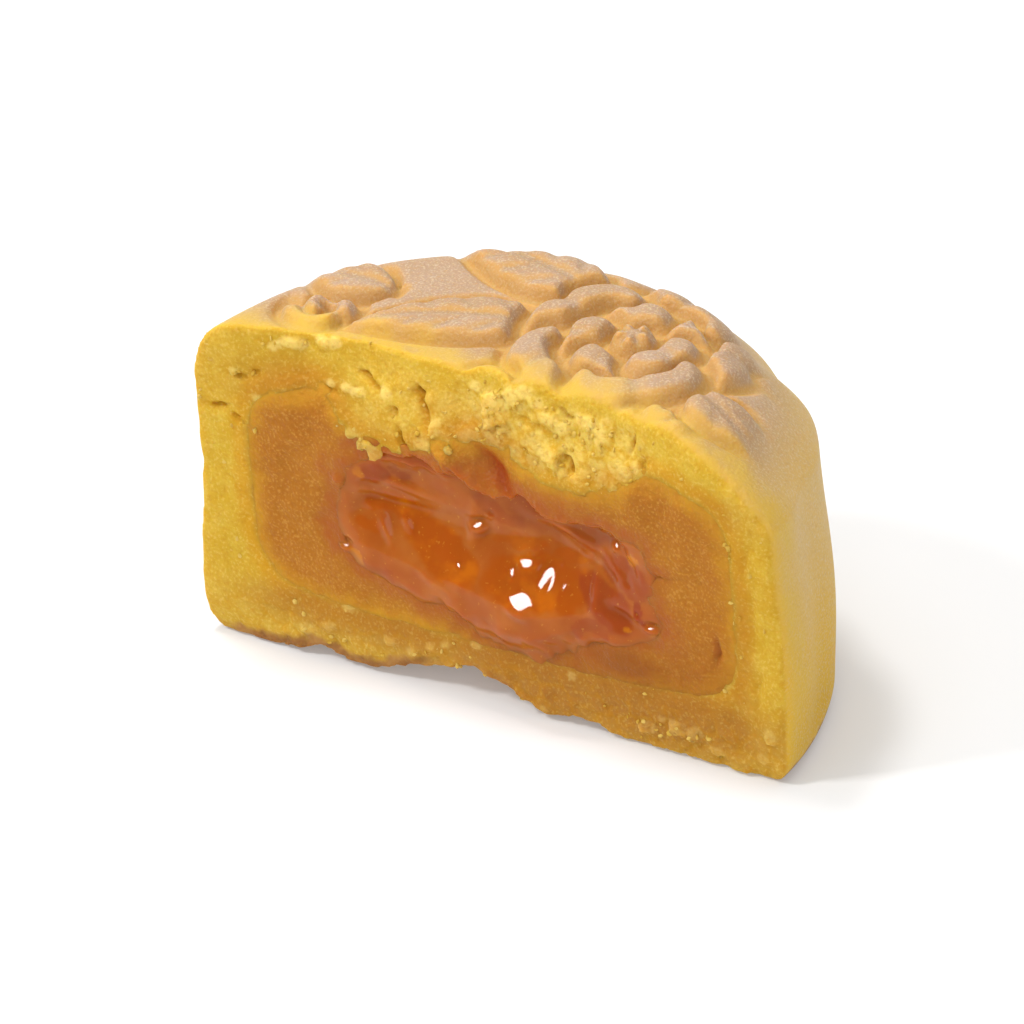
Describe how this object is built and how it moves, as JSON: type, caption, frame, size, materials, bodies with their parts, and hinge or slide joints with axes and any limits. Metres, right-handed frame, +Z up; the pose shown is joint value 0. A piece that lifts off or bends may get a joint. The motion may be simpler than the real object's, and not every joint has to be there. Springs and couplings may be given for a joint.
{
  "type": "lava mooncake",
  "caption": "Half of a small round moulded mooncake, broken open to show its pastry crust, custard paste and runny orange lava centre.",
  "frame": {"origin": "middle of the half cake's footprint, on the table, under the centre of its bounding box", "axes": "+X along the broken face, to the right of someone facing it; +Y away from the broken face, into the cake; +Z up out of the moulded top"},
  "size_m": [0.0497, 0.0251, 0.0261],
  "materials": {
    "crust": "baked shortcrust pastry, satin from egg wash on top, dry and crumbly where torn",
    "custard": "dense fine-grained custard paste, slightly moist",
    "lava": "wet, glossy, translucent salted-yolk lava"
  },
  "bodies": {
    "root": {"crust": "crust", "custard": "custard", "lava": "lava"}
  },
  "joints": []
}
